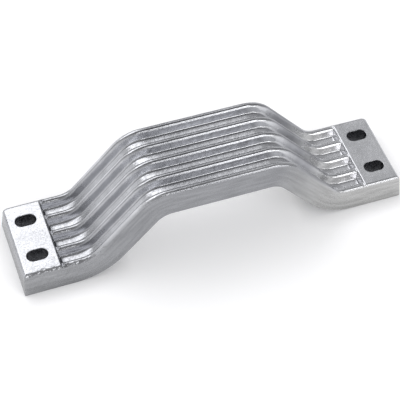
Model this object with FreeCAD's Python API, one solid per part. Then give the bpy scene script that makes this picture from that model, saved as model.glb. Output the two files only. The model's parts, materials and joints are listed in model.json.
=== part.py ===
import FreeCAD, Part
import math
import os

from FreeCAD import Vector

# Sacrificial anode for an outboard clamp bracket: one fluted, hat-shaped casting.
# Its two feet lie on the plane Z = 0 and are screwed down through two slots each.
# A raised bridge joins them, and five half-round ribs run over the whole hump
# with four flat-floored channels between them, which end short of the foot pads.
# The origin is the middle of the footprint: X along the bar, Y across it, Z up.

# ---- driving dimensions (millimetres, degrees)

# the bar, seen from the side
overall_length = 200.0
bar_thickness = 12.7
bridge_clearance = 35.4      # mounting plane to the underside of the bridge
foot_length = 40.3           # end of the bar to the sharp corner of foot and leg, underside
leg_angle = 49.6             # slope of the legs above the mounting plane
heel_radius = 32.7           # underside, foot into leg
instep_radius = 10.6         # top face, foot into leg
arch_radius = 9.9            # underside, leg into bridge
shoulder_radius = 18.9       # top face, leg into bridge

# the bar, seen from the end: the casting draft makes it narrower on top
base_width = 48.0
top_width = 43.6
end_inset = 1.0              # how far each end face leans in over the bar's thickness
back_corner_radius = 3.0     # upright corners on the +Y side

# ribs and channels on the top face
rib_count = 5
crest_radius = 1.6           # rounds the ribs and every other edge of the top face
crest_land = 0.2             # flat left along the top of each rib
channel_depth = 4.2
wall_draft = 22.0            # lean of the channel walls from upright
channel_root_radius = 1.6    # fillet between a channel's floor and its walls
channel_run_out = 9.6        # how far the channels run on level over each foot

# slots for M6 screws, in the middle of each foot's plain pad
slot_spacing_y = 22.0
slot_width = 6.6
slot_length = 10.6
slot_rim_chamfer = 0.3       # worn edge at the slots' mouths on the foot pads

cut_margin = 1.0             # how far a cutting solid stands clear of what it cuts
tolerance = 1e-4

# ---- values worked out from them

half_length = overall_length / 2
half_base = base_width / 2
half_top = top_width / 2
pad_end = half_length - end_inset
bridge_top = bridge_clearance + bar_thickness

leg_slope = math.radians(leg_angle)
wall_lean = math.radians(wall_draft)
side_lean = math.atan((half_base - half_top) / bar_thickness)

# sharp corners of the side view, on its +X half, underside and top
foot_corner_under = half_length - foot_length
bridge_corner_under = foot_corner_under - bridge_clearance / math.tan(leg_slope)
corner_shift = bar_thickness * math.tan(leg_slope / 2)
foot_corner_top = foot_corner_under + corner_shift
bridge_corner_top = bridge_corner_under + corner_shift

# the top line: where its two bends start and end
shoulder_start = bridge_corner_top - shoulder_radius * math.tan(leg_slope / 2)
instep_end = foot_corner_top + instep_radius * math.tan(leg_slope / 2)
leg_length = bridge_clearance / math.sin(leg_slope)
leg_straight = leg_length - (shoulder_radius + instep_radius) * math.tan(leg_slope / 2)
channel_end = instep_end + channel_run_out
slot_spacing_x = channel_end + pad_end

# a crest's rounding takes this much width on each kind of wall
inner_round = crest_radius * math.tan((math.pi / 2 - wall_lean) / 2)
outer_round = crest_radius * math.tan((math.pi / 2 - side_lean) / 2)
rib_width = 2 * inner_round + crest_land
rim_rib_width = inner_round + outer_round + crest_land
channel_count = rib_count - 1
all_ribs_width = 2 * rim_rib_width + (rib_count - 2) * rib_width
channel_width = (top_width - all_ribs_width) / channel_count
rib_pitch = channel_width + rib_width
channel_middles = [(index - (channel_count - 1) / 2) * rib_pitch for index in range(channel_count)]

across = Vector(0, 1, 0)
along = Vector(1, 0, 0)


# ---- outlines with rounded corners

def bend(corner, incoming, outgoing, radius):
    """Start, middle and end of the arc that rounds a corner between two directions."""
    turn = incoming.getAngle(outgoing)
    tangent = radius * math.tan(turn / 2)
    inward = (outgoing - incoming).normalize()
    middle = corner + inward * (radius / math.cos(turn / 2) - radius)
    return corner - incoming * tangent, middle, corner + outgoing * tangent


def rounded_face(corners):
    """The flat face inside a closed outline of (point, corner radius) pairs."""
    bends = []
    for index, (corner, radius) in enumerate(corners):
        before = corners[index - 1][0]
        after = corners[(index + 1) % len(corners)][0]
        incoming = (corner - before).normalize()
        outgoing = (after - corner).normalize()
        bends.append(bend(corner, incoming, outgoing, radius))
    edges = []
    for index, (start, middle, end) in enumerate(bends):
        edges.append(Part.makeLine(bends[index - 1][2], start))
        if corners[index][1]:
            edges.append(Part.Arc(start, middle, end).toShape())
    return Part.Face(Part.Wire(edges))


def side_view(y):
    """The bar's outline from the side, at one Y."""
    right_half = [
        (foot_corner_under, 0, heel_radius),
        (half_length, 0, 0),
        (pad_end, bar_thickness, 0),
        (foot_corner_top, bar_thickness, instep_radius),
        (bridge_corner_top, bridge_top, shoulder_radius),
    ]
    left_half = [(-x, z, radius) for x, z, radius in reversed(right_half)]
    arch = [
        (-bridge_corner_under, bridge_clearance, arch_radius),
        (bridge_corner_under, bridge_clearance, arch_radius),
    ]
    return rounded_face([(Vector(x, y, z), r) for x, z, r in arch + right_half + left_half])


def cross_section(top_point, fluted):
    """The bar's section under one point of its top line, deeper than the bar is thick."""
    depth = bar_thickness + cut_margin
    low_half = half_top + depth * math.tan(side_lean)
    floor_half = channel_width / 2 - channel_depth * math.tan(wall_lean)
    edge_radius = crest_radius if fluted else 0
    corners = [(-low_half, -depth, 0), (-half_top, 0, edge_radius)]
    for middle in channel_middles if fluted else ():
        corners += [
            (middle - channel_width / 2, 0, crest_radius),
            (middle - floor_half, -channel_depth, channel_root_radius),
            (middle + floor_half, -channel_depth, channel_root_radius),
            (middle + channel_width / 2, 0, crest_radius),
        ]
    corners += [(half_top, 0, edge_radius), (low_half, -depth, 0)]
    return rounded_face([(top_point + Vector(0, y, z), r) for y, z, r in corners])


# ---- the hump: the fluted section carried along the top line

def carried_along(section):
    """Solids that follow the top line from the bridge's middle to the foot."""
    down_leg = Vector(math.cos(leg_slope), 0, -math.sin(leg_slope))
    shoulder_centre = Vector(shoulder_start, 0, bridge_top - shoulder_radius)
    instep_centre = Vector(instep_end, 0, bar_thickness + instep_radius)
    solids = []
    for straight, centre, turn in (
        (along * shoulder_start, shoulder_centre, leg_angle),
        (down_leg * leg_straight, instep_centre, -leg_angle),
    ):
        solids.append(section.extrude(straight))
        section = section.translated(straight)
        solids.append(section.revolve(centre, across, turn))
        section = section.rotated(centre, across, turn)
    return solids


def make_half_hump(slab):
    solids = carried_along(cross_section(Vector(0, 0, bridge_top), fluted=True))
    return slab.common(solids[0].multiFuse(solids[1:]))


# ---- a foot: plain bar in which the channels come to an end

def make_channel_end(y):
    """What is cut from the foot for one channel: its walls and its end all lean out."""
    floor_z = bar_thickness - channel_depth
    mouth_z = bar_thickness + cut_margin
    sink = channel_depth * math.tan(wall_lean)
    spill = cut_margin * math.tan(wall_lean)
    floor_half = channel_width / 2 - sink
    mouth_half = channel_width / 2 + spill
    start_x = instep_end - cut_margin
    end_view = [
        Vector(start_x, y - floor_half, floor_z),
        Vector(start_x, y + floor_half, floor_z),
        Vector(start_x, y + mouth_half, mouth_z),
        Vector(start_x, y - mouth_half, mouth_z),
    ]
    long_view = [
        Vector(start_x, y - mouth_half, floor_z),
        Vector(channel_end - sink, y - mouth_half, floor_z),
        Vector(channel_end + spill, y - mouth_half, mouth_z),
        Vector(start_x, y - mouth_half, mouth_z),
    ]
    trough = Part.Face(Part.makePolygon(end_view + end_view[:1])).extrude(along * half_length)
    stop = Part.Face(Part.makePolygon(long_view + long_view[:1])).extrude(across * 2 * mouth_half)
    channel = trough.common(stop).Solids[0]
    rounded = [
        edge for edge in channel.Edges
        if edge.BoundBox.XMax > start_x + tolerance and edge.BoundBox.ZMin < floor_z + tolerance
    ]
    return channel.makeFillet(channel_root_radius, rounded)


def back_corner_edges(solid):
    """The leaning corner edge at the foot's end, on the +Y side."""
    return [
        edge for edge in solid.Edges
        if edge.BoundBox.XMin > pad_end - tolerance and edge.BoundBox.YMin > 0
    ]


def top_edges(foot):
    """Every edge of the foot's top face but the one where the hump goes on."""
    return [
        edge for edge in foot.Edges
        if edge.BoundBox.ZMin > bar_thickness - tolerance
        and edge.BoundBox.XMax > instep_end + tolerance
    ]


def make_foot(slab):
    start = cross_section(Vector(instep_end, 0, bar_thickness), fluted=False)
    foot = slab.common(start.extrude(along * foot_length)).Solids[0]
    foot = foot.makeFillet(back_corner_radius, back_corner_edges(foot))
    foot = foot.cut([make_channel_end(y) for y in channel_middles]).Solids[0]
    return foot.makeFillet(crest_radius, top_edges(foot)).Solids[0]


# ---- the screw slots

def make_slot(x, y):
    """A screw slot as a solid, its long axis along X."""
    radius = slot_width / 2
    straight = slot_length - slot_width
    height = bar_thickness + 2 * cut_margin
    base = Vector(x, y, -cut_margin)
    slot = Part.makeBox(straight, slot_width, height, base - Vector(straight / 2, radius, 0))
    for side in (-1, 1):
        centre = base + Vector(side * straight / 2, 0, 0)
        slot = slot.fuse(Part.makeCylinder(radius, height, centre))
    return slot.removeSplitter()


def make_slots():
    return [
        make_slot(side_x * slot_spacing_x / 2, side_y * slot_spacing_y / 2)
        for side_x in (-1, 1)
        for side_y in (-1, 1)
    ]


def slot_rims(solid, slots):
    """The slots' edges on the foot pads."""
    chosen = []
    for edge in solid.Edges:
        box = edge.BoundBox
        on_pad = min(box.ZMin, 2 * bar_thickness - box.ZMax) > bar_thickness - tolerance
        if on_pad and any(slot.distToShape(edge)[0] < tolerance for slot in slots):
            chosen.append(edge)
    return chosen


# ---- the casting

def make_casting():
    """Two halves of hump and foot made one, then the slots."""
    widest = half_base + cut_margin
    slab = side_view(-widest).extrude(across * 2 * widest)
    right = [make_half_hump(slab), make_foot(slab)]
    left = [solid.mirror(Vector(0, 0, 0), along) for solid in right]
    casting = right[0].multiFuse(right[1:] + left).removeSplitter().Solids[0]
    slots = make_slots()
    casting = casting.cut(slots).Solids[0]
    return casting.makeChamfer(slot_rim_chamfer, slot_rims(casting, slots)).Solids[0]


os.makedirs("parts", exist_ok=True)
anode_casting = make_casting()
anode_casting.exportStep("parts/anode_casting.step")
print(
    "anode_casting", "valid" if anode_casting.isValid() else "NOT VALID",
    "volume", round(anode_casting.Volume), "mm3",
    "rib pitch", round(rib_pitch, 2), "channel width", round(channel_width, 2),
)
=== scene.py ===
# %% [markdown]
# # A sacrificial anode, cast in one piece
#
# This lesson dresses the imported model of a sacrificial anode: a flat bar bent like a
# low bridge, with five rounded ribs over its hump and two screw slots in each foot.
# It is one casting, so it is one piece here too. The imported model is loaded first, as
# the frame that the outer sizes are read from.

# %% Load the frame
import json
import math

import bpy
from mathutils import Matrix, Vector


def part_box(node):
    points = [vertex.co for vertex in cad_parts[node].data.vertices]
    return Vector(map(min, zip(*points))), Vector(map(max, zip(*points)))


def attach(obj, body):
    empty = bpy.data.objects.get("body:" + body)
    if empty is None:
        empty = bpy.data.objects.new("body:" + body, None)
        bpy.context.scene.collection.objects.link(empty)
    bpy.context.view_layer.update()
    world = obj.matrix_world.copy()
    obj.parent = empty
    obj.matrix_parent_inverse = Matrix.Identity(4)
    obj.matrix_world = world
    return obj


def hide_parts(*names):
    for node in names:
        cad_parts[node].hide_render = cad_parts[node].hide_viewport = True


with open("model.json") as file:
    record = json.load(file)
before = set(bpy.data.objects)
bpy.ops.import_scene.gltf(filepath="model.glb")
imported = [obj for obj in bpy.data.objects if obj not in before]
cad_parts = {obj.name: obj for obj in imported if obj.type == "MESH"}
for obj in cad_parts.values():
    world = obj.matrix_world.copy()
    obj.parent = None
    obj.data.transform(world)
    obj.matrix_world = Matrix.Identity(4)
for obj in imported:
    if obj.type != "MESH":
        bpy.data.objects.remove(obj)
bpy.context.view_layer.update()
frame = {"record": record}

# %% [markdown]
# ## The sizes of the casting
#
# The outer sizes are read from the frame and from the mounts in its record, so this
# script can't drift away from the model. The rest are the pattern maker's own sizes:
# bend radii, draft angles and the depth of the channels. They are in millimetres,
# because that is how such a drawing is read.

# %% Sizes
MM = 0.001

low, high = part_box("anode_casting")
mounts = {mount["name"]: mount for mount in frame["record"]["mounts"]}
slot_dims = mounts["screw_slots"]["dims"]

overall_length = round((high.x - low.x) / MM, 1)
bridge_top = round((high.z - low.z) / MM, 1)
bar_thickness = round(mounts["screw_seat_plus_x"]["pos_m"][2] / MM, 2)
base_width = 48.0
top_width = 43.6
end_inset = 1.0
back_corner_radius = 3.0

foot_length = 40.3
leg_angle = math.radians(49.6)
heel_radius = 32.7
instep_radius = 10.6
arch_radius = 9.9
shoulder_radius = 18.9

rib_count = 5
crest_radius = 1.6
crest_land = 0.2
channel_depth = 4.2
wall_lean = math.radians(22)
root_radius = 1.6
channel_corner_radius = 0.7
channel_run_out = 9.6

print("bar:", overall_length, "x", base_width, "x", bridge_top, "mm, thickness", bar_thickness)

# %% [markdown]
# ## Where the bends and the channels lie
#
# Seen from the side the bar has a top line and an underside line. Both run level over
# the bridge, bend down, follow the leg, bend back and run level over the foot, but
# their bend radii differ, so the bar isn't equally thick all along. The lengths below
# follow from the corners of those lines, as on a drawing.

# %% Lengths along the two lines
half_length = overall_length / 2
bridge_clearance = bridge_top - bar_thickness
pad_end = half_length - end_inset
end_lean = math.atan(end_inset / bar_thickness)
side_lean = math.atan((base_width - top_width) / 2 / bar_thickness)
half_turn = math.tan(leg_angle / 2)

foot_corner_under = half_length - foot_length
bridge_corner_under = foot_corner_under - bridge_clearance / math.tan(leg_angle)
corner_shift = bar_thickness * half_turn
leg_length = bridge_clearance / math.sin(leg_angle)

top_line = {
    "Bridge half": bridge_corner_under + corner_shift - shoulder_radius * half_turn,
    "Upper bend radius": shoulder_radius,
    "Leg straight": leg_length - (shoulder_radius + instep_radius) * half_turn,
    "Lower bend radius": instep_radius,
    "Bridge height": bridge_top,
}
under_line = {
    "Bridge half": bridge_corner_under - arch_radius * half_turn,
    "Upper bend radius": arch_radius,
    "Leg straight": leg_length - (arch_radius + heel_radius) * half_turn,
    "Lower bend radius": heel_radius,
    "Bridge height": bridge_clearance,
}
instep_end = foot_corner_under + corner_shift + instep_radius * half_turn
heel_end = foot_corner_under + heel_radius * half_turn
channel_end = instep_end + channel_run_out

print("top line:", {name: round(length, 2) for name, length in top_line.items()})
print("channels end at", round(channel_end, 2), "mm from the middle")

# %% [markdown]
# ## The profile of a channel
#
# A channel's wall leans out so that the casting leaves its mould. It meets the rib's
# crest in one rounding and the floor in another. How deep a point lies depends only
# on its distance inside the channel's mouth, and that holds at the channel's blind
# ends as well as along its sides, so one rule makes ribs, walls and ends.

# %% Widths across the profile
wall_sink = channel_depth * math.tan(wall_lean)
crest_tangent = crest_radius * math.tan((math.pi / 2 - wall_lean) / 2)
rim_tangent = crest_radius * math.tan((math.pi / 2 - side_lean) / 2)
end_tangent = crest_radius * math.tan((math.pi / 2 - end_lean) / 2)
root_tangent = root_radius * math.tan((math.pi / 2 - wall_lean) / 2)

crest_reach = crest_radius * math.cos(wall_lean)
root_reach = root_radius * math.cos(wall_lean)
root_end = wall_sink + root_tangent
wall_top = crest_reach - crest_tangent
wall_bottom = root_end - root_reach

rib_width = 2 * crest_tangent + crest_land
rim_rib_width = crest_tangent + rim_tangent + crest_land
channel_width = (top_width - 2 * rim_rib_width - (rib_count - 2) * rib_width) / (rib_count - 1)
half_pitch = (channel_width + rib_width) / 2

print("rib pitch", round(2 * half_pitch, 2), "mm, channel width", round(channel_width, 2), "mm")

# %% [markdown]
# ## One helper for every node
#
# Geometry and material trees are long lists of nodes. One small function adds a node,
# sets its properties and fills its inputs, by name or in the order in which the node
# shows them. A kind in capitals is an operation of the Math node, since sums are most
# of what these trees hold. An input can be a number, a socket, or another node, which
# then stands for its first output. A Map Range node is filled with the value, the
# range that it comes from and the range that it goes to.

# %% Add a node
def add_node(tree, kind, inputs=(), **settings):
    if kind.isupper():
        kind, settings["operation"] = "ShaderNodeMath", kind
    node = tree.nodes.new(kind)
    for name, value in settings.items():
        setattr(node, name, value)
    sockets = [socket for socket in node.inputs if socket.enabled]
    if isinstance(inputs, dict):
        by_name = {socket.name: socket for socket in sockets}
        sockets = [by_name[name] for name in inputs]
        inputs = inputs.values()
    for socket, value in zip(sockets, inputs):
        if isinstance(value, bpy.types.Node):
            value = next(output for output in value.outputs if output.enabled)
        if isinstance(value, bpy.types.NodeSocket):
            tree.links.new(value, socket)
        else:
            socket.default_value = value
    return node


MAP_RANGE = "ShaderNodeMapRange"
SEPARATE = "ShaderNodeSeparateXYZ"
COMBINE = "ShaderNodeCombineXYZ"


# %% Start a geometry tree
def new_tree(name, inputs, outputs):
    """A tree and its inputs. Inputs and outputs are given as socket types by name."""
    tree = bpy.data.node_groups.new(name, "GeometryNodeTree")
    for in_out, sockets in (("INPUT", inputs), ("OUTPUT", outputs)):
        for label, kind in sockets.items():
            tree.interface.new_socket(label, in_out=in_out, socket_type=kind)
    return tree, tree.nodes.new("NodeGroupInput").outputs


def numbers(names):
    """Number sockets for a list of names."""
    return dict.fromkeys(names, "NodeSocketFloat")


def tell(tree, how_far="in all"):
    print(f"{tree.name}: {len(tree.nodes)} nodes {how_far}")


SHAPE = "NodeSocketGeometry"

# %% [markdown]
# ## The hat line
#
# On the drawing each line of the side view is five pieces: level, bend, slope, bend,
# level. A curve with filleted corners could give it, but the top and the underside
# must stay matched piece by piece, so that the sides between them are clean strips.
# This group therefore adds the pieces up by formula: each one counts from 0 to 1 as
# the line runs through it. It is used twice, with two sets of sizes.

# %% Group: a point of a hat line
line_pieces = ["Over the bridge", "Round the upper bend", "Down the leg", "Round the lower bend"]
hat_line, size = new_tree(
    "hat line",
    numbers(["Leg angle", *top_line, *line_pieces]),
    numbers(["Along", "Height", "Tilt", "Run"]),
)
leg_turn = size["Leg angle"]
upper_radius = size["Upper bend radius"]
lower_radius = size["Lower bend radius"]

upper_turn = add_node(hat_line, "MULTIPLY", [leg_turn, size["Round the upper bend"]])
lower_turn = add_node(hat_line, "MULTIPLY", [leg_turn, size["Round the lower bend"]])
tilt = add_node(hat_line, "SUBTRACT", [upper_turn, lower_turn])
turn_left = add_node(hat_line, "SUBTRACT", [leg_turn, lower_turn])
sine, cosine = (
    {
        name: add_node(hat_line, operation, [turn])
        for name, turn in (("leg", leg_turn), ("upper", upper_turn), ("left", turn_left))
    }
    for operation in ("SINE", "COSINE")
)
tell(hat_line, "for its turns")

# %% How far along and how high
over = add_node(hat_line, "MULTIPLY", [size["Bridge half"], size["Over the bridge"]])
leg = add_node(hat_line, "MULTIPLY", [size["Leg straight"], size["Down the leg"]])
past_upper = add_node(hat_line, "MULTIPLY_ADD", [upper_radius, sine["upper"], over])
past_leg = add_node(hat_line, "MULTIPLY_ADD", [leg, cosine["leg"], past_upper])
lower_reach = add_node(hat_line, "SUBTRACT", [sine["leg"], sine["left"]])
line_along = add_node(hat_line, "MULTIPLY_ADD", [lower_radius, lower_reach, past_leg])

upper_drop = add_node(hat_line, "SUBTRACT", [cosine["upper"], 1.0])
below_upper = add_node(hat_line, "MULTIPLY_ADD", [upper_radius, upper_drop, size["Bridge height"]])
leg_drop = add_node(hat_line, "MULTIPLY", [leg, sine["leg"]])
below_leg = add_node(hat_line, "SUBTRACT", [below_upper, leg_drop])
lower_drop = add_node(hat_line, "SUBTRACT", [cosine["leg"], cosine["left"]])
line_height = add_node(hat_line, "MULTIPLY_ADD", [lower_radius, lower_drop, below_leg])

line_run = add_node(hat_line, "ADD", [over, leg])
for radius, turn in ((upper_radius, upper_turn), (lower_radius, lower_turn)):
    line_run = add_node(hat_line, "MULTIPLY_ADD", [radius, turn, line_run])
add_node(
    hat_line, "NodeGroupOutput",
    {"Along": line_along, "Height": line_height, "Tilt": tilt, "Run": line_run},
)
tell(hat_line)

# %% [markdown]
# ## The channel's profile as a rule
#
# The depth under the rib tops is the sum of three pieces, taken in turn as the
# distance inside the mouth grows: the crest's rounding, the straight leaning wall, and
# the rounding into the floor. A float curve could be drawn by eye instead, but the
# arcs are exact here and change with their radii.

# %% Group: depth from the distance inside a channel's mouth
profile_names = ["Crest radius", "Crest tangent", "Crest reach", "Wall top", "Wall bottom"]
profile_names += ["Wall height", "Root radius", "Root end", "Root reach"]
profile, size = new_tree("channel profile", numbers(["Distance", *profile_names]), numbers(["Depth"]))
inwards = size["Distance"]
crest_start = add_node(profile, "MULTIPLY", [size["Crest tangent"], -1.0])
on_crest = add_node(
    profile, MAP_RANGE, [inwards, crest_start, size["Wall top"], 0.0, size["Crest reach"]]
)
on_wall = add_node(
    profile, MAP_RANGE, [inwards, size["Wall top"], size["Wall bottom"], 0.0, size["Wall height"]]
)
to_root_end = add_node(
    profile, MAP_RANGE, [inwards, size["Wall bottom"], size["Root end"], size["Root reach"], 0.0]
)
arcs = []
for radius, reach in (
    (size["Crest radius"], on_crest),
    (size["Root radius"], to_root_end),
    (size["Root radius"], size["Root reach"]),
):
    squares = [add_node(profile, "POWER", [length, 2.0]) for length in (radius, reach)]
    difference = add_node(profile, "SUBTRACT", squares)
    arcs.append(add_node(profile, "SQRT", [difference]))
crest_drop = add_node(profile, "SUBTRACT", [size["Crest radius"], arcs[0]])
root_drop = add_node(profile, "SUBTRACT", arcs[1:])
above_root = add_node(profile, "ADD", [crest_drop, on_wall])
profile_depth = add_node(profile, "ADD", [above_root, root_drop])
add_node(profile, "NodeGroupOutput", [profile_depth])
tell(profile)

# %% [markdown]
# ## The bar from a tube
#
# A bar is a tube with closed ends: its length becomes the bar's length and its girth
# becomes the section. A sweep along a curve would give ribs too, but not channels that
# end blind, nor ends with rounded rims. So the tree takes a plain closed cylinder and
# tells each of its points where to go. Round the girth and along the length the points
# are shared out piece by piece, more where the shape turns. Because it starts closed
# it stays closed, with its faces outwards.

# %% How the points are shared out
half_channel_rows = {"land": 1, "crest": 5, "wall": 4, "root": 5, "floor": 3}
rows_per_step = sum(half_channel_rows.values())
half_channels = rib_count - 1

girth_rows = {
    "channels": half_channels * rows_per_step,
    "rim land": 1,
    "rim": 6,
    "side": 11,
    "underside": 9,
}
length_rows = {
    "Over the bridge": 44,
    "Round the upper bend": 30,
    "Down the leg": 54,
    "Round the lower bend": 18,
    "run out": 14,
    "channel end": 18,
    "pad": 27,
    "corner": 4,
    "rim": 9,
}
half_girth = sum(girth_rows.values())
half_rows = sum(length_rows.values())
print("points round the girth:", 2 * half_girth, "and along the bar:", 2 * half_rows + 1)


# %% Shares of the way through each piece
def pieces_of(tree, row, row_counts, unit=1):
    """Each piece as a share from 0 to 1 of the way through its rows, counted in units."""
    shares, start = {}, 0
    for name, count in row_counts.items():
        end = start + count
        shares[name] = add_node(tree, MAP_RANGE, [row, start / unit, end / unit, 0.0, 1.0])
        start = end
    return shares

# %% [markdown]
# ## The shape of the casting
#
# The tree below reads as the drawing does: where along the bar, how far across it, how
# deep under the rib tops. Depth is the largest of four: the channel, a shallow seam
# across the ribs where they meet the foot's pad, and the rounded rims along the sides
# and at the ends. The channels' blind ends are steeper than their sides. The point
# goes that deep under the top line, square to it, and the sides are drawn straight from
# there to the underside line. All lengths inside the tree are millimetres.

# %% The sizes that the tree is given
foot_reach = pad_end - end_tangent + crest_radius * math.cos(end_lean) - instep_end
casting_sizes = {
    "Leg angle": leg_angle,
    "Crest radius": crest_radius,
    "Crest tangent": crest_tangent,
    "Crest reach": crest_reach,
    "Crest turn": math.pi / 2 - wall_lean,
    "Wall top": wall_top,
    "Wall bottom": wall_bottom,
    "Wall height": (wall_bottom - wall_top) / math.tan(wall_lean),
    "Root radius": root_radius,
    "Root end": root_end,
    "Root reach": root_reach,
    "Land half": crest_land / 2,
    "Floor half": channel_width / 2 - root_end,
    "Half pitch": half_pitch,
    "Rim turn": math.pi / 2 - side_lean,
    "End turn": math.pi / 2 - end_lean,
    "Base half": base_width / 2,
    "Channel end": channel_end,
    "Channel corner radius": channel_corner_radius,
    "End steepness": 1.7,
    "Seam depth": 0.5,
    "Seam start": 0.8,
    "Seam end": 3.2,
    "Run out length": channel_end - root_end - instep_end,
    "Channel end length": root_end + crest_tangent,
    "Pad length": pad_end - back_corner_radius - channel_end - crest_tangent,
    "Corner length": back_corner_radius - end_tangent,
    "Foot reach": foot_reach,
    "Sole reach": half_length - heel_end,
    "Back corner start": pad_end - back_corner_radius,
    "Back corner radius": back_corner_radius,
    "Back corner end": instep_end + foot_reach,
}
line_sizes = {
    **{f"Top {name}": length for name, length in top_line.items()},
    **{f"Under {name}": length for name, length in under_line.items()},
}
print("casting tree:", len(casting_sizes), "sizes, foot reach", round(foot_reach, 2), "mm")

# %% Group: the tube, and where each of its points is
bar, size = new_tree("fluted bar", numbers([*casting_sizes, *line_sizes]), {"Bar": SHAPE})
tube = add_node(
    bar, "GeometryNodeMeshCylinder",
    {"Vertices": 2 * half_girth, "Side Segments": 2 * half_rows, "Radius": 1.0, "Depth": 2.0},
)
tube_spot = add_node(bar, SEPARATE, [add_node(bar, "GeometryNodeInputPosition")]).outputs
round_angle = add_node(bar, "ARCTAN2", [tube_spot["Y"], tube_spot["X"]])
turned = add_node(bar, "ABSOLUTE", [round_angle])
girth_row = add_node(bar, "MULTIPLY", [turned, half_girth / math.pi])
at_back = add_node(bar, "LESS_THAN", [round_angle, 0.0])
side_sign = add_node(bar, "MULTIPLY_ADD", [at_back, 2.0, -1.0])
end_sign = add_node(bar, "SIGN", [tube_spot["Z"]])
off_middle = add_node(bar, "ABSOLUTE", [tube_spot["Z"]])
length_row = add_node(bar, "MULTIPLY", [off_middle, half_rows])
girth_part = pieces_of(bar, girth_row, girth_rows)
length_part = pieces_of(bar, length_row, length_rows)
tell(bar, "to find a point on the tube")

# %% Along the foot, with its last stretch shared out by angle round the rim
end_angle = add_node(bar, "MULTIPLY", [length_part["rim"], size["End turn"]])
end_sine = add_node(bar, "SINE", [end_angle])
foot = add_node(bar, "MULTIPLY", [end_sine, size["Crest radius"]])
for name in ("run out", "channel end", "pad", "corner"):
    foot_piece = size[f"{name.capitalize()} length"]
    foot = add_node(bar, "MULTIPLY_ADD", [length_part[name], foot_piece, foot])
foot_share = add_node(bar, "DIVIDE", [foot, size["Foot reach"]])
tell(bar, "up to the foot")

# %% Along the top line and the underside line
lines = {}
for line in ("Top", "Under"):
    lengths = {name: size[f"{line} {name}"] for name in top_line}
    shares = {name: length_part[name] for name in line_pieces}
    lines[line] = add_node(
        bar, "GeometryNodeGroup", {"Leg angle": size["Leg angle"], **lengths, **shares},
        node_tree=hat_line,
    ).outputs
top_along = add_node(bar, "ADD", [lines["Top"]["Along"], foot])
under_along = add_node(bar, "MULTIPLY_ADD", [foot_share, size["Sole reach"], lines["Under"]["Along"]])
tell(bar, "up to the place along it")

# %% Across the bar: which rib is nearest, and how far off it
girth_step = add_node(bar, "MULTIPLY", [girth_row, 1 / rows_per_step])
step = add_node(bar, "MINIMUM", [girth_step, half_channels])
step_share = add_node(bar, "PINGPONG", [step, 1.0])
in_ribs = add_node(bar, "MULTIPLY", [step, 0.5])
rib = add_node(bar, "ROUND", [in_ribs])
off_rib = add_node(bar, "SUBTRACT", [in_ribs, rib])
rib_side = add_node(bar, "SIGN", [off_rib])
step_part = pieces_of(bar, step_share, half_channel_rows, unit=rows_per_step)

crest_angle = add_node(bar, "MULTIPLY", [step_part["crest"], size["Crest turn"]])
crest_sine = add_node(bar, "SINE", [crest_angle])
wall_run = add_node(bar, "SUBTRACT", [size["Wall bottom"], size["Wall top"]])
root_left = add_node(bar, "SUBTRACT", [1.0, step_part["root"]])
root_angle = add_node(bar, "MULTIPLY", [root_left, size["Crest turn"]])
root_sine = add_node(bar, "SINE", [root_angle])
root_rest = add_node(bar, "MULTIPLY", [root_sine, size["Root radius"]])
root_run = add_node(bar, "SUBTRACT", [size["Root reach"], root_rest])

rib_reach = add_node(bar, "MULTIPLY", [step_part["land"], size["Land half"]])
for piece, width in (
    (crest_sine, size["Crest radius"]),
    (step_part["wall"], wall_run),
    (root_run, 1.0),
    (step_part["floor"], size["Floor half"]),
):
    rib_reach = add_node(bar, "MULTIPLY_ADD", [piece, width, rib_reach])
pitch = add_node(bar, "MULTIPLY", [size["Half pitch"], 2.0])
rib_middle = add_node(bar, "MULTIPLY", [rib, pitch])
rib_across = add_node(bar, "MULTIPLY_ADD", [rib_side, rib_reach, rib_middle])
tell(bar, "up to the ribs")

# %% Across the bar: the rims of the outer ribs
rim_angle = add_node(bar, "MULTIPLY", [girth_part["rim"], size["Rim turn"]])
rim_sine = add_node(bar, "SINE", [rim_angle])
rim_land = add_node(bar, "MULTIPLY_ADD", [girth_part["rim land"], size["Land half"], rib_across])
top_across = add_node(bar, "MULTIPLY_ADD", [rim_sine, size["Crest radius"], rim_land])
tell(bar, "up to the rims")

# %% [markdown]
# ## How deep under the rib tops
#
# How far a point lies inside a channel's mouth is the smaller of two distances: from
# its side and from its blind end. The smaller one alone would leave a sharp corner
# where they meet, so they are joined like the distance to a rectangle with round
# corners.

# %% Distance inside the mouth
rib_half = add_node(bar, "ADD", [size["Land half"], size["Crest tangent"]])
side_inside = add_node(bar, "SUBTRACT", [rib_reach, rib_half])
before_end = add_node(bar, "SUBTRACT", [size["Channel end"], top_along])
end_inside = add_node(bar, "MULTIPLY", [before_end, size["End steepness"]])

corner_radius = size["Channel corner radius"]
gaps = [add_node(bar, "SUBTRACT", [corner_radius, inside]) for inside in (side_inside, end_inside)]
squares = []
for gap in gaps:
    positive = add_node(bar, "MAXIMUM", [gap, 0.0])
    squares.append(add_node(bar, "MULTIPLY", [positive, positive]))
square = add_node(bar, "ADD", squares)
round_part = add_node(bar, "SQRT", [square])
larger_gap = add_node(bar, "MAXIMUM", gaps)
flat_part = add_node(bar, "MINIMUM", [larger_gap, 0.0])
past_corner = add_node(bar, "ADD", [round_part, flat_part])
mouth_inside = add_node(bar, "SUBTRACT", [corner_radius, past_corner])
tell(bar, "up to the channels' mouths")

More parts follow.
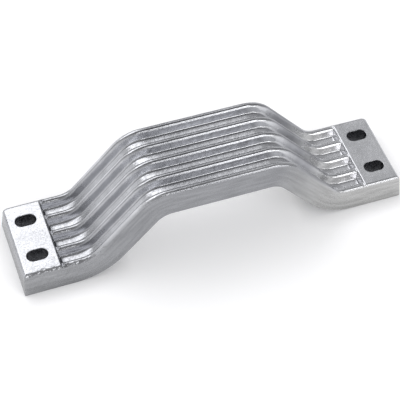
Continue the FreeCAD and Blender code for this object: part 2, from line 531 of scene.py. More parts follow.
# %% The largest of four depths
channel, lip = (
    add_node(
        bar, "GeometryNodeGroup", {"Distance": inside, **{name: size[name] for name in profile_names}},
        node_tree=profile,
    )
    for inside in (mouth_inside, end_inside)
)
seam = add_node(
    bar, MAP_RANGE, [end_inside, size["Seam start"], size["Seam end"], size["Seam depth"], 0.0],
    interpolation_type="SMOOTHSTEP",
)
lip_seam = add_node(bar, "MINIMUM", [seam, lip])
depth = add_node(bar, "MAXIMUM", [channel, lip_seam])
for turn in (rim_angle, end_angle):
    turn_cosine = add_node(bar, "COSINE", [turn])
    fall = add_node(bar, "SUBTRACT", [1.0, turn_cosine])
    rim_depth = add_node(bar, "MULTIPLY", [fall, size["Crest radius"]])
    depth = add_node(bar, "MAXIMUM", [depth, rim_depth])
tell(bar, "up to the depth")

# %% Down from the top line, square to it, then straight on to the underside line
tilt_sine = add_node(bar, "SINE", [lines["Top"]["Tilt"]])
tilt_cosine = add_node(bar, "COSINE", [lines["Top"]["Tilt"]])
back_off = add_node(bar, "MULTIPLY", [depth, tilt_sine])
sink = add_node(bar, "MULTIPLY", [depth, tilt_cosine])
skin_along = add_node(bar, "SUBTRACT", [top_along, back_off])
skin_height = add_node(bar, "SUBTRACT", [lines["Top"]["Height"], sink])
top_point = add_node(bar, COMBINE, [skin_along, top_across, skin_height])
under_point = add_node(bar, COMBINE, [under_along, size["Base half"], lines["Under"]["Height"]])
side_point = add_node(
    bar, "ShaderNodeMix", [girth_part["side"], top_point, under_point], data_type="VECTOR"
)
placed = add_node(bar, SEPARATE, [side_point]).outputs
tell(bar, "up to half of its section")

# %% The two rounded corners at the back, and the sole's way in to the middle
into_corner = add_node(
    bar, MAP_RANGE, [top_along, size["Back corner start"], size["Back corner end"], 0.0, 1.0]
)
corner_square = add_node(bar, "MULTIPLY", [into_corner, into_corner])
square_left = add_node(bar, "SUBTRACT", [1.0, corner_square])
width_left = add_node(bar, "SQRT", [square_left])
width_lost = add_node(bar, "SUBTRACT", [1.0, width_left])
corner_lost = add_node(bar, "MULTIPLY", [width_lost, size["Back corner radius"]])
back_lost = add_node(bar, "MULTIPLY", [corner_lost, at_back])
share_lost = add_node(bar, "DIVIDE", [back_lost, size["Base half"]])
share_kept = add_node(bar, "SUBTRACT", [1.0, share_lost])
sole_kept = add_node(bar, "SUBTRACT", [1.0, girth_part["underside"]])
across_kept = add_node(bar, "MULTIPLY", [share_kept, sole_kept])

half_across = add_node(bar, "MULTIPLY", [placed["Y"], across_kept])
bar_across = add_node(bar, "MULTIPLY", [half_across, side_sign])
bar_along = add_node(bar, "MULTIPLY", [placed["X"], end_sign])
bar_place = add_node(bar, COMBINE, [bar_along, bar_across, placed["Z"]])
tell(bar, "up to each point's place")

# %% [markdown]
# ## Marks for the finish
#
# The finish will want to know where it is: on a wall, a rib's crest, a side. Only this
# tree knows that, so it stores the answer with the points, as two attributes, before
# it moves them: the place on the bar as if it were straight, and the kind of skin.

# %% Store the marks, then move the points
half_run = add_node(bar, "ADD", [lines["Top"]["Run"], foot])
bar_run = add_node(bar, "MULTIPLY", [half_run, end_sign])
down = add_node(bar, "MULTIPLY_ADD", [girth_part["side"], bar_thickness, depth])
straightened = add_node(bar, COMBINE, [bar_run, bar_across, down])

deep_share = add_node(bar, "MULTIPLY", [channel, math.pi / channel_depth])
steep = add_node(bar, "SINE", [deep_share])
rim_share = add_node(bar, "MULTIPLY", [girth_part["rim"], math.pi])
rim_steep = add_node(bar, "SINE", [rim_share])
on_side = add_node(bar, "MULTIPLY", [girth_part["rim"], girth_part["rim"]])
skin_kinds = add_node(bar, COMBINE, [steep, on_side, rim_steep])

marked = tube
for mark, value in (("place on the bar", straightened), ("kind of skin", skin_kinds)):
    marked = add_node(
        bar, "GeometryNodeStoreNamedAttribute", {"Geometry": marked, "Name": mark, "Value": value},
        data_type="FLOAT_VECTOR",
    )
moved = add_node(bar, "GeometryNodeSetPosition", {"Geometry": marked, "Position": bar_place})
add_node(bar, "NodeGroupOutput", [moved])
tell(bar)

# %% [markdown]
# ## The cast skin
#
# Metal poured in a mould comes out a little uneven: broad hollows where it shrank, and
# a pebbled skin from the mould's face. The front edge of the left foot is rougher
# still, torn where the metal was broken off the channel that it was poured through,
# and the left shoulder came out rougher than the rest. A bump map could draw all that,
# but the light along the ribs breaks up on real shape, so this group moves the points
# in or out along the surface. The soles were flattened afterwards and are left alone.

# %% Group: the sizes of the uneven skin
skin_sizes = {
    "Hollow height": 0.20,
    "Hollow size": 16.0,
    "Pebble height": 0.11,
    "Pebble size": 2.4,
    "Torn height": 2.6,
    "Torn size": 1.3,
    "Torn width": 2.2,
    "Torn from": -40.0,
    "Torn to": -62.0,
    "Torn at shoulder": 0.3,
    "Torn outwards at most": 0.05,
    "Rough middle": -33.0,
    "Rough reach": 17.0,
    "Rough gain": 1.6,
    "Skin seed": 4.0,
}
skin, size = new_tree(
    "cast skin", {"Plain": SHAPE, **numbers([*skin_sizes, "Top half"])}, {"Uneven": SHAPE}
)
skin_position = add_node(skin, "GeometryNodeInputPosition")
skin_normal = add_node(skin, "GeometryNodeInputNormal")
skin_spot = add_node(skin, SEPARATE, [skin_position]).outputs
skin_facing = add_node(skin, SEPARATE, [skin_normal]).outputs
print("cast skin:", len(skin_sizes), "sizes")


# %% How far off
def distance_from(tree, place, middle):
    """How far a number is from another one, either way."""
    off = add_node(tree, "SUBTRACT", [place, middle])
    return add_node(tree, "ABSOLUTE", [off])


# %% How much each kind of unevenness lifts the skin
lifts = {}
for feature, detail in (("Hollow", 1.0), ("Pebble", 3.0), ("Torn", 2.0)):
    density = add_node(skin, "DIVIDE", [1.0, size[f"{feature} size"]])
    noise = add_node(
        skin, "ShaderNodeTexNoise",
        {"Vector": skin_position, "W": size["Skin seed"], "Scale": density, "Detail": detail},
        noise_dimensions="4D",
    )
    swing = add_node(skin, "SUBTRACT", [noise, 0.5])
    lifts[feature] = add_node(skin, "MULTIPLY", [swing, size[f"{feature} height"]])

tell(skin, "up to the lifts")

# %% Where the skin is rough, and where it is torn: along the front rim's line
off_shoulder = distance_from(skin, skin_spot["X"], size["Rough middle"])
near_shoulder = add_node(
    skin, MAP_RANGE, [off_shoulder, 0.0, size["Rough reach"], 1.0, 0.0],
    interpolation_type="SMOOTHSTEP",
)
front_line = add_node(skin, "MULTIPLY", [size["Top half"], -1.0])
off_rim = distance_from(skin, skin_spot["Y"], front_line)
near_rim = add_node(skin, MAP_RANGE, [off_rim, 0.0, size["Torn width"], 1.0, 0.0])
on_left = add_node(skin, MAP_RANGE, [skin_spot["X"], size["Torn from"], size["Torn to"], 0.0, 1.0])
tell(skin, "up to the rough and torn places")

# %% Move the skin in or out, but for the soles
SOLE_FACING, SIDE_FACING = -0.99, -0.9

shoulder_torn = add_node(skin, "MULTIPLY", [near_shoulder, size["Torn at shoulder"]])
torn_share = add_node(skin, "MAXIMUM", [shoulder_torn, on_left])
torn = add_node(skin, "MULTIPLY", [near_rim, torn_share])
chips = add_node(skin, "MINIMUM", [lifts["Torn"], size["Torn outwards at most"]])
rougher = add_node(skin, "MULTIPLY_ADD", [near_shoulder, size["Rough gain"], 1.0])
pebbled = add_node(skin, "MULTIPLY_ADD", [lifts["Pebble"], rougher, lifts["Hollow"]])
chipped = add_node(skin, "MULTIPLY_ADD", [chips, torn, pebbled])
off_sole = add_node(skin, MAP_RANGE, [skin_facing["Z"], SOLE_FACING, SIDE_FACING, 0.0, 1.0])
skin_lift = add_node(skin, "MULTIPLY", [chipped, off_sole])
skin_offset = add_node(skin, "ShaderNodeVectorMath", [skin_normal, skin_lift], operation="SCALE")
lifted_skin = add_node(
    skin, "GeometryNodeSetPosition", {"Geometry": size["Plain"], "Offset": skin_offset}
)
add_node(skin, "NodeGroupOutput", [lifted_skin])
tell(skin)

# %% [markdown]
# ## The screw slots
#
# Each foot has two slots through it, so that the screws can be set to the bracket. They
# repeat, so one cutter is made and placed on the four corners of a grid, and a boolean
# takes all four out. The cutter is a short tube too, stretched to a slot and flared at
# the top, which leaves the mouth's edge rounded as on a worn casting.

# %% Group: the tube for a cutter
slot_sizes = {
    "Slot width": 2 * slot_dims["hole_r_mm"],
    "Slot length": slot_dims["slot_length_mm"],
    "Slot spacing along": slot_dims["spacing_x_mm"],
    "Slot spacing across": slot_dims["spacing_y_mm"],
    "Slot rim radius": 0.3,
    "Bar thickness": bar_thickness,
    "Cut margin": 1.0,
}
cutter_rows = {"shaft": 1, "rim": 7, "above": 1}
row_count = sum(cutter_rows.values())

cutters, size = new_tree("slot cutters", numbers(slot_sizes), {"Cutters": SHAPE})
slot_tube = add_node(
    cutters, "GeometryNodeMeshCylinder",
    {"Vertices": 40, "Side Segments": row_count, "Radius": 1.0, "Depth": row_count},
)
slot_spot = add_node(cutters, SEPARATE, [add_node(cutters, "GeometryNodeInputPosition")]).outputs
cutter_row = add_node(cutters, "ADD", [slot_spot["Z"], row_count / 2])
cutter_part = pieces_of(cutters, cutter_row, cutter_rows)
tell(cutters, "to find a point on the tube")

# %% A slot with a flared mouth: the flare is a quarter round, shared out by angle
mouth_angle = add_node(cutters, "MULTIPLY", [cutter_part["rim"], math.pi / 2])
mouth_sine = add_node(cutters, "SINE", [mouth_angle])
mouth_cosine = add_node(cutters, "COSINE", [mouth_angle])
flare = add_node(cutters, "SUBTRACT", [1.0, mouth_cosine])
shaft_radius = add_node(cutters, "MULTIPLY", [size["Slot width"], 0.5])
slot_radius = add_node(cutters, "MULTIPLY_ADD", [flare, size["Slot rim radius"], shaft_radius])
straight = add_node(cutters, "SUBTRACT", [size["Slot length"], size["Slot width"]])
straight_half = add_node(cutters, "MULTIPLY", [straight, 0.5])
slot_end = add_node(cutters, "SIGN", [slot_spot["X"]])
shift = add_node(cutters, "MULTIPLY", [slot_end, straight_half])
slot_along = add_node(cutters, "MULTIPLY_ADD", [slot_spot["X"], slot_radius, shift])
slot_across = add_node(cutters, "MULTIPLY", [slot_spot["Y"], slot_radius])

below_rim = add_node(cutters, "SUBTRACT", [size["Bar thickness"], size["Slot rim radius"]])
shaft = add_node(cutters, "ADD", [below_rim, size["Cut margin"]])
slot_height = add_node(cutters, "MULTIPLY", [size["Cut margin"], -1.0])
for piece, length in (
    (cutter_part["shaft"], shaft),
    (mouth_sine, size["Slot rim radius"]),
    (cutter_part["above"], size["Cut margin"]),
):
    slot_height = add_node(cutters, "MULTIPLY_ADD", [piece, length, slot_height])
slot_place = add_node(cutters, COMBINE, [slot_along, slot_across, slot_height])
cutter = add_node(cutters, "GeometryNodeSetPosition", {"Geometry": slot_tube, "Position": slot_place})
tell(cutters, "for one cutter")

# %% Four of them
corners = add_node(
    cutters, "GeometryNodeMeshGrid",
    {"Size X": size["Slot spacing along"], "Size Y": size["Slot spacing across"],
     "Vertices X": 2, "Vertices Y": 2},
)
four = add_node(cutters, "GeometryNodeInstanceOnPoints", {"Points": corners, "Instance": cutter})
real_cutters = add_node(cutters, "GeometryNodeRealizeInstances", [four])
add_node(cutters, "NodeGroupOutput", [real_cutters])
tell(cutters)

# %% [markdown]
# ## Putting the casting together
#
# The outer tree joins the three groups: the fluted bar gets its skin, the slots are
# cut, and the whole is scaled from millimetres to metres. The boolean uses the manifold
# solver: both shapes are closed, and unlike the exact one it keeps the attributes that
# the finish reads. Edges sharper than a cast rounding stay sharp in the shading. The
# tree's inputs are every size above, by name, and the modifier is given their values
# through the sockets' identifiers.

# %% The casting's own tree
SHARP_EDGE = math.radians(38)
tree_values = {
    **casting_sizes,
    **line_sizes,
    **skin_sizes,
    "Top half": top_width / 2,
    **slot_sizes,
}
anode, size = new_tree(
    "cast anode", {**numbers(tree_values), "Finish": "NodeSocketMaterial"}, {"Casting": SHAPE}
)

# each group gets its sizes from the outer tree's inputs of the same names
fluted, skinned, cutting = (
    add_node(
        anode, "GeometryNodeGroup",
        {item.name: size[item.name] for item in group.interface.items_tree if item.name in tree_values},
        node_tree=group,
    )
    for group in (bar, skin, cutters)
)
anode.links.new(fluted.outputs["Bar"], skinned.inputs["Plain"])
cut = add_node(
    anode, "GeometryNodeMeshBoolean", {"Mesh 1": skinned, "Mesh 2": cutting},
    operation="DIFFERENCE", solver="MANIFOLD",
)
tell(anode, "up to the slots")

# %% Into metres, with its sharp edges and its finish
metres = add_node(anode, "GeometryNodeTransform", {"Geometry": cut, "Scale": (MM, MM, MM)})
soft = add_node(anode, "GeometryNodeSetShadeSmooth", {"Geometry": metres, "Shade Smooth": True})
bend = add_node(anode, "GeometryNodeInputMeshEdgeAngle")
sharp = add_node(anode, "GREATER_THAN", [bend, SHARP_EDGE])
crisp = add_node(
    anode, "GeometryNodeSetShadeSmooth",
    {"Geometry": soft, "Selection": sharp, "Shade Smooth": False}, domain="EDGE",
)
real = add_node(anode, "GeometryNodeRealizeInstances", [crisp])
dressed = add_node(anode, "GeometryNodeSetMaterial", {"Geometry": real, "Material": size["Finish"]})
add_node(anode, "NodeGroupOutput", [dressed])
print("cast anode:", len(anode.nodes), "nodes and", len(tree_values), "sizes")

# %% [markdown]
# ## Colours
#
# Colours are written as the hex values seen on screen. Shaders work with linear light,
# so one function turns a hex value into it.

# %% From hex to linear
def linear(hex_colour):
    channels = [int(hex_colour[index:index + 2], 16) / 255 for index in (1, 3, 5)]
    return tuple(
        value / 12.92 if value <= 0.04045 else ((value + 0.055) / 1.055) ** 2.4
        for value in channels
    ) + (1.0,)


print("middle grey in linear light:", round(linear("#808080")[0], 3))

# %% [markdown]
# ## The finish: bright cast aluminium
#
# The anode is aluminium alloy, cast in a metal mould and left bare, so it is bright but
# not polished: a fine grain breaks the reflections up. It isn't alike all over. The
# mould's face was smoother in the channels, so walls and crests gleam, and the sloping
# legs are a bit more matt. Only on the rough left shoulder do the crests and walls keep
# the grain. The sides have soft streaks along the bar, and there are a few dark gas pits.
# Part of the colour is painted light and shade: the channel walls are lighter, painted
# light bounced between the ribs, brightest towards the right foot, where they paint the
# lines along the ribs; dark lines where a face turns, on the ribs' shoulders and roots,
# are painted shade; a dark band across the ribs where they meet the left foot's pad is a
# painted shadow; and along the bar the tones make the left foot, the middle and the right
# foot lighter or darker, painted light and shade for what each stretch reflects.
#
# One even colour with noise over it would hide all that, so each kind of face gets its
# own run of colours along the bar, and these runs carry the painted light and shade. A
# metal takes its colour from its base colour and keeps the default IOR.

# %% How bright the skin is painted along the bar, painted light and shade included, in millimetres from the middle
LINE_HALF = 115.0
painted_skin_tones = {
    # top: the rib tops and floors are set lighter or darker stretch by stretch, painted light and shade for
    # what each stretch reflects
    "top": {
        # the dark stops from -94.4 to -92.8 are a painted shadow in the seam where the ribs meet the left
        # pad
        -115: "#a6a7ab", -95.2: "#a6a7ab", -94.4: "#6a6b6f", -92.8: "#6a6b6f", -92: "#9fa0a4",
        -80: "#9fa0a4", -64: "#c4c5c9", -46: "#c4c5c9", -30: "#a8a9ad", -22: "#8e8f93",
        -8: "#8e8f93", 4: "#9e9fa3", 16: "#a8a9ad", 30: "#acadb1", 46: "#8e8f93",
        58: "#8e8f93", 70: "#aeafb3", 88: "#b4b5b9", 115: "#bcbdc1",
    },
    # walls: lighter than the tops, painted light bounced between the ribs; the near-white stops towards the
    # right foot paint the bright lines along the ribs
    "walls": {
        -92: "#a8a9ad", -78: "#a8a9ad", -70: "#b6b7bb", -50: "#b6b7bb", -42: "#c6c7cb",
        -34: "#bebfc3", -24: "#a7a8ac", -12: "#b2b3b7", 5: "#bbbcc0", 25: "#bebfc3",
        36: "#d2d3d6", 50: "#a2a3a7", 60: "#a0a1a5", 70: "#cdcecf", 86: "#eaeaeb",
        92: "#dcdcde",
    },
    # turns: painted shade, dark lines along the ribs' shoulders and roots where a face turns
    "turns": {
        -92: "#7a7b80", -80: "#84858a", -70: "#8c8d92", -56: "#8c8d92", -42: "#68696e",
        -20: "#5e5f64", 26: "#5e5f64", 46: "#707176", 60: "#707176", 70: "#8a8b90",
        88: "#a2a3a7",
    },
    "sides": {-115: "#9c9d9f", -60: "#96979a", 30: "#929396", 85: "#b6b6b5", 115: "#b6b6b5"},
}

anode_finish = bpy.data.materials.new("bright cast aluminium")
anode_finish.use_nodes = True
metal = anode_finish.node_tree
metal.nodes.clear()
on_bar = add_node(metal, "ShaderNodeAttribute", attribute_name="place on the bar").outputs["Vector"]
from_middle = add_node(metal, SEPARATE, [on_bar]).outputs["X"]
line_share = add_node(metal, MAP_RANGE, [from_middle, -LINE_HALF, LINE_HALF, 0.0, 1.0])


def set_stops(ramp, stops):
    """Puts (place from 0 to 1, colour) pairs on a Color Ramp instead of its own two."""
    elements = ramp.color_ramp.elements
    elements.remove(elements[1])
    for number, (place, colour) in enumerate(stops):
        element = elements.new(place) if number else elements[0]
        element.position = place
        element.color = colour


runs = {}
for face, tones in painted_skin_tones.items():
    runs[face] = add_node(metal, "ShaderNodeValToRGB", [line_share])
    set_stops(runs[face], [((x + LINE_HALF) / (2 * LINE_HALF), linear(tones[x])) for x in tones])
print("metal:", sum(map(len, painted_skin_tones.values())), "tones in", len(runs), "runs")

# %% One colour out of the four runs, by how steep the face is: the lighter walls are painted bounced light, the dark turns painted shade
WALL_GAIN = 1.6
TURN_SHADE_STOPS = ((0.0, 0.0), (0.09, 0.9), (0.27, 0.0))

skin_kind = add_node(metal, "ShaderNodeAttribute", attribute_name="kind of skin")
kinds = add_node(metal, SEPARATE, [skin_kind.outputs["Vector"]]).outputs
# the walls' lighter tone is painted light bounced between the ribs
painted_wall_light_share = add_node(metal, "MULTIPLY", [kinds["X"], WALL_GAIN], use_clamp=True)
# the turns' dark tone is painted shade along the ribs' shoulders and roots
painted_turn_shade = add_node(metal, "ShaderNodeValToRGB", [kinds["X"]])
set_stops(painted_turn_shade, [(steepness, (share, share, share, 1.0)) for steepness, share in TURN_SHADE_STOPS])
painted_skin_colour = runs["top"]
for share, run in (
    (painted_wall_light_share, runs["walls"]), (painted_turn_shade, runs["turns"]), (kinds["Y"], runs["sides"])
):
    painted_skin_colour = add_node(metal, "ShaderNodeMix", [share, painted_skin_colour, run], data_type="RGBA")
print("metal:", len(metal.nodes), "nodes up to its plain colour")

# %% [markdown]
# ## Marks in the metal
#
# The colour swings a little, in broad patches on top and in streaks along the sides.
# The streaks follow the straightened bar, so they keep their direction round the
# bends. Voronoi cells place the gas pits, and a chance for each cell keeps them few.

# %% Patches and streaks, their sizes in millimetres
STREAK_WIDTH = 1.7
STREAK_STRETCH = 10     # how many times longer than wide
PATCH_SIZE = 9.0
NOISE_LOW, NOISE_HIGH = 0.35, 0.65
PATCH_SWING, STREAK_SWING = 0.08, 0.11

place = add_node(metal, "ShaderNodeTexCoord").outputs["Object"]
streak_place = add_node(
    metal, "ShaderNodeVectorMath", [on_bar, (1 / STREAK_STRETCH, 1.0, 1.0)], operation="MULTIPLY"
)
streaks = add_node(
    metal, "ShaderNodeTexNoise", {"Vector": streak_place, "Scale": 1 / STREAK_WIDTH, "Detail": 3.0}
)
patches = add_node(
    metal, "ShaderNodeTexNoise", {"Vector": place, "Scale": 1 / (PATCH_SIZE * MM), "Detail": 4.0}
)
swings = [
    add_node(metal, MAP_RANGE, [noise, NOISE_LOW, NOISE_HIGH, 1 - most, 1 + most])
    for noise, most in ((patches, PATCH_SWING), (streaks, STREAK_SWING))
]
tone_swing = add_node(metal, "ShaderNodeMix", [kinds["Y"], *swings], data_type="FLOAT")
swung_colour = add_node(metal, "ShaderNodeVectorMath", [painted_skin_colour, tone_swing], operation="SCALE")
print("metal: patches of", PATCH_SIZE, "mm, streaks", STREAK_WIDTH, "mm wide")

# %% Gas pits, only in a few of the cells, their sizes in millimetres
PIT_SPACING = 13
PIT_FLOOR, PIT_RIM = 0.3, 0.6
PIT_CHANCE = 0.12

cells = add_node(
    metal, "ShaderNodeTexVoronoi", {"Vector": place, "Scale": 1 / (PIT_SPACING * MM)}
).outputs
near_pit = add_node(
    metal, MAP_RANGE, [cells["Distance"], PIT_FLOOR / PIT_SPACING, PIT_RIM / PIT_SPACING, 1.0, 0.0]
)
cell_chance = add_node(metal, SEPARATE, [cells["Color"]])
chosen = add_node(metal, "LESS_THAN", [cell_chance, PIT_CHANCE])
pit = add_node(metal, "MULTIPLY", [near_pit, chosen])
metal_colour = add_node(
    metal, "ShaderNodeMix", [pit, swung_colour, linear("#3c3c40")], data_type="RGBA"
)
print("metal: pits", 2 * PIT_RIM, "mm wide in", PIT_CHANCE, "of the cells")

# %% [markdown]
# ## Gleam and grain
#
# Crests and channel walls gleam: they are smoother, and the grain hardly shows there.
# The rough left shoulder keeps its grain, and the sloping legs are a bit more matt.
# The real grain is finer than half a millimetre. It is drawn at about one millimetre,
# because a finer one wouldn't show.

# %% Where the metal is smooth
RIM_SHARE, SMOOTH_GAIN, GRAIN_LOST = 0.25, 3.5, 0.85

# the shoulder in millimetres along the bar, and how much of the gleam is left there
ROUGH_MIDDLE, ROUGH_CORE, ROUGH_EDGE, ROUGH_SMOOTH = -33.0, 8.0, 26.0, 0.25

steep_or_rim = add_node(metal, "MULTIPLY_ADD", [kinds["Z"], RIM_SHARE, kinds["X"]])
face_smooth = add_node(metal, "MULTIPLY", [steep_or_rim, SMOOTH_GAIN], use_clamp=True)
off_rough = distance_from(metal, from_middle, ROUGH_MIDDLE)
kept_smooth = add_node(metal, MAP_RANGE, [off_rough, ROUGH_CORE, ROUGH_EDGE, ROUGH_SMOOTH, 1.0])
smooth = add_node(metal, "MULTIPLY", [face_smooth, kept_smooth])
grain_share = add_node(metal, "MULTIPLY_ADD", [smooth, -GRAIN_LOST, 1.0])
print("metal:", len(metal.nodes), "nodes up to where it is smooth")

# %% How matt: it changes from grain to grain, and along the legs
GRAIN_SIZE, MATT_SIZE = 1.2, 0.9
PLAIN_ROUGHNESS, SMOOTHER_BY, GRAIN_SWING = 0.27, 0.07, 0.47

# the legs in millimetres along the bar, and how much rougher they are
LEG_MIDDLE, LEG_CORE, LEG_EDGE, LEG_ROUGHER = 58.0, 10.0, 22.0, 0.09

grain = add_node(
    metal, "ShaderNodeTexNoise",
    {"Vector": place, "Scale": 1 / (GRAIN_SIZE * MM), "Detail": 4.0, "Roughness": 0.6},
)
matt = add_node(
    metal, "ShaderNodeTexNoise", {"Vector": place, "Scale": 1 / (MATT_SIZE * MM), "Detail": 3.0}
)
matt_noise = add_node(metal, "SUBTRACT", [matt, 0.5])
matt_swing = add_node(metal, "MULTIPLY", [matt_noise, grain_share])
level_matt = add_node(metal, "MULTIPLY_ADD", [smooth, -SMOOTHER_BY, PLAIN_ROUGHNESS])
grainy_matt = add_node(metal, "MULTIPLY_ADD", [matt_swing, GRAIN_SWING, level_matt])
either_leg = add_node(metal, "ABSOLUTE", [from_middle])
off_leg = distance_from(metal, either_leg, LEG_MIDDLE)
leg_matt = add_node(metal, MAP_RANGE, [off_leg, LEG_CORE, LEG_EDGE, LEG_ROUGHER, 0.0])
roughness = add_node(metal, "ADD", [grainy_matt, leg_matt])
print("metal: grain", GRAIN_SIZE, "mm, roughness about", PLAIN_ROUGHNESS)

# %% Relief: streaks along the bar, a pebbled grain, and the pits
RELIEF = 0.055 * MM
STREAKS_ON_TOP, STREAKS_ON_SIDE = 0.25, 0.35

streak_share = add_node(metal, "MULTIPLY_ADD", [kinds["Y"], STREAKS_ON_SIDE, STREAKS_ON_TOP])
grain_relief = add_node(metal, "MULTIPLY", [grain, grain_share])
streaked = add_node(metal, "MULTIPLY_ADD", [streaks, streak_share, grain_relief])
pitted = add_node(metal, "SUBTRACT", [streaked, pit])
bump = add_node(metal, "ShaderNodeBump", {"Height": pitted, "Strength": 1.0, "Distance": RELIEF})
surface = add_node(
    metal, "ShaderNodeBsdfPrincipled",
    {"Base Color": metal_colour, "Metallic": 1.0, "Roughness": roughness, "Normal": bump},
)
add_node(metal, "ShaderNodeOutputMaterial", [surface])
print("material:", anode_finish.name, len(metal.nodes), "nodes")

# %% [markdown]
# ## From the tree to a plain mesh
#
# The modifier is evaluated once and its result kept as a plain mesh, because what is
# exported and checked later is the mesh, not the tree.

# %% Make the casting
source = bpy.data.objects.new("casting source", bpy.data.meshes.new("casting source"))
bpy.context.collection.objects.link(source)
modifier = source.modifiers.new("shape", "NODES")
modifier.node_group = anode
for item in anode.interface.items_tree:
    if item.name in tree_values:
        modifier[item.identifier] = float(tree_values[item.name])
    elif item.name == "Finish":
        modifier[item.identifier] = anode_finish
bpy.context.view_layer.update()
evaluated = source.evaluated_get(bpy.context.evaluated_depsgraph_get())
casting_mesh = bpy.data.meshes.new_from_object(evaluated)
casting_mesh.name = "anode_cast_bar"
casting = bpy.data.objects.new("anode_cast_bar", casting_mesh)
bpy.context.collection.objects.link(casting)
bpy.data.objects.remove(source)
casting_mesh.calc_loop_triangles()
print("casting:", len(casting_mesh.loop_triangles), "triangles")

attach(casting, "root")
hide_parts("anode_casting")

# %% [markdown]
# ## Floor, light and camera
#
# Bare metal shows what stands round it, so the room is the second half of its look. A
# pale floor and a light dome, bright low down and dimmer overhead, give the broad
# greys, and a dim wall behind the bar, which ends towards the right, darkens the far
# side of each rib. Three soft boxes do the rest. One behind on the left whitens the
# left foot, and two in front, a low one and a high one, draw the bright lines along
# the ribs and in the channels.
#
# The floor keeps the bar's shadow. It is lifted to white only for the camera and in
# reflections, never as light on the bar. Ambient occlusion fades the lift close to the
# bar and down in the slots, which stay dark: a painted contact shade on the floor.

# %% Floor
FLOOR_HALF = 3.0
FLOOR_GAP = 0.2 * MM
FLOOR_LIFT = 0.30
CONTACT_SHADE_REACH = 12 * MM

floor_mesh = bpy.data.meshes.new("floor")
floor_corners = [(x * FLOOR_HALF, y * FLOOR_HALF, 0) for x, y in ((-1, -1), (1, -1), (1, 1), (-1, 1))]
floor_mesh.from_pydata(floor_corners, [], [(0, 1, 2, 3)])
floor = bpy.data.objects.new("floor", floor_mesh)
floor.location.z = -FLOOR_GAP
bpy.context.collection.objects.link(floor)

paper_finish = bpy.data.materials.new("matt white paper")
paper_finish.use_nodes = True
paper = paper_finish.node_tree
paper.nodes.clear()
matt_white = add_node(paper, "ShaderNodeBsdfDiffuse", {"Color": linear("#e6e6e8")})
ray = add_node(paper, "ShaderNodeLightPath").outputs
seen_or_glossy = add_node(paper, "MAXIMUM", [ray["Is Camera Ray"], ray["Is Glossy Ray"]])
seen = add_node(paper, "MAXIMUM", [seen_or_glossy, ray["Is Transmission Ray"]])
# painted contact shade: ambient occlusion fades the lift near the bar and in the slots
openness = add_node(
    paper, "ShaderNodeAmbientOcclusion", {"Distance": CONTACT_SHADE_REACH}, samples=16
).outputs["AO"]
seen_lift = add_node(paper, "MULTIPLY", [seen, FLOOR_LIFT])
open_lift = add_node(paper, "MULTIPLY", [seen_lift, openness])
glow = add_node(paper, "ShaderNodeEmission", {"Color": linear("#ffffff"), "Strength": open_lift})
lit_paper = add_node(paper, "ShaderNodeAddShader", [matt_white, glow])
add_node(paper, "ShaderNodeOutputMaterial", [lit_paper])
floor_mesh.materials.append(paper_finish)
print("floor:", 2 * FLOOR_HALF, "m wide,", FLOOR_GAP / MM, "mm under the soles")

# %% Light dome
LOW_LIGHT, TOP_LIGHT, TOP_HEIGHT = 1.10, 0.55, 0.95
LEFT_TO_RIGHT, FRONT_TO_BACK = -0.22, 0.36
WALL_STOPS = ((0.10, 0.0), (0.25, 1.0), (0.58, 1.0), (0.70, 0.0))
WALL_SIDE, WALL_MIDDLE, WALL_DIMNESS = 0.3, 0.7, -0.6
WALL_FADES, WALL_ENDS = 0.42, 0.62

world = bpy.data.worlds.new("studio dome")
world.use_nodes = True
bpy.context.scene.world = world
dome = world.node_tree
dome.nodes.clear()
towards = add_node(dome, "ShaderNodeTexCoord").outputs["Generated"]
heading = add_node(dome, SEPARATE, [towards]).outputs
fade = add_node(dome, MAP_RANGE, [heading["Z"], 0.0, TOP_HEIGHT, LOW_LIGHT, TOP_LIGHT])
sideways = add_node(dome, "MULTIPLY_ADD", [heading["X"], LEFT_TO_RIGHT, fade])
uneven = add_node(dome, "MULTIPLY_ADD", [heading["Y"], FRONT_TO_BACK, sideways])

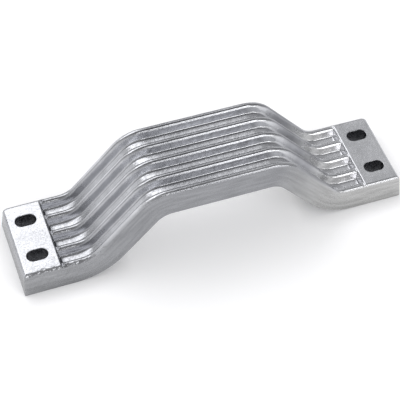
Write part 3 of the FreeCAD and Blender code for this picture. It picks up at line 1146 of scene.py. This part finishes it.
# the wall: how high it stands, how far round behind the bar, and where it ends
wall_height = add_node(dome, "ShaderNodeValToRGB", [heading["Z"]])
set_stops(wall_height, [(height, (share, share, share, 1.0)) for height, share in WALL_STOPS])
behind = add_node(dome, MAP_RANGE, [heading["Y"], WALL_SIDE, WALL_MIDDLE, 0.0, WALL_DIMNESS])
wall_width = add_node(dome, MAP_RANGE, [heading["X"], WALL_FADES, WALL_ENDS, 1.0, 0.0])
wall = add_node(dome, "MULTIPLY", [behind, wall_width])
walled = add_node(dome, "MULTIPLY_ADD", [wall_height, wall, uneven])
sky = add_node(dome, "ShaderNodeBackground", {"Color": (1, 1, 1, 1), "Strength": walled})
add_node(dome, "ShaderNodeOutputWorld", [sky])
print("dome:", len(dome.nodes), "nodes")

# %% Soft boxes that look at the middle of the bar
BOX_DISTANCE = 1.5

# azimuth from +Y and elevation in degrees, width and height in metres, watts
for name, azimuth, elevation, width, height, watts in (
    ("back left box", -28, 53, 1.75, 0.72, 9.1),
    ("front low box", 149, 16, 1.15, 0.24, 3.1),
    ("front high box", 151, 44, 0.8, 0.27, 3.0),
):
    lamp = bpy.data.lights.new(name, "AREA")
    lamp.shape = "RECTANGLE"
    lamp.size = width
    lamp.size_y = height
    lamp.energy = watts
    box = bpy.data.objects.new(name, lamp)
    around, up = math.radians(azimuth), math.radians(elevation)
    box.location = (
        BOX_DISTANCE * math.sin(around) * math.cos(up),
        BOX_DISTANCE * math.cos(around) * math.cos(up),
        BOX_DISTANCE * math.sin(up),
    )
    box.rotation_euler = (up - math.pi / 2, 0, -around)
    bpy.context.collection.objects.link(box)
    print("lamp:", name, watts, "W")

# %% Camera: its lens in millimetres, its place in metres and its turns in degrees
camera_data = bpy.data.cameras.new("camera")
camera_data.sensor_width = 36.0
camera_data.lens = 117.7
camera_data.clip_start = 0.01
camera_data.clip_end = 20.0
camera_data.shift_x = -0.0011
camera_data.shift_y = 0.0004
camera = bpy.data.objects.new("camera", camera_data)
camera.location = (-0.1551, -0.3814, 0.5296)
camera.rotation_euler = [math.radians(turn) for turn in (38.161, -1.791, -19.665)]
bpy.context.collection.objects.link(camera)
bpy.context.scene.camera = camera
bpy.context.scene.view_settings.view_transform = "Standard"
print("camera:", round(camera_data.lens, 1), "mm lens,", round(camera.location.length, 3), "m from the bar")
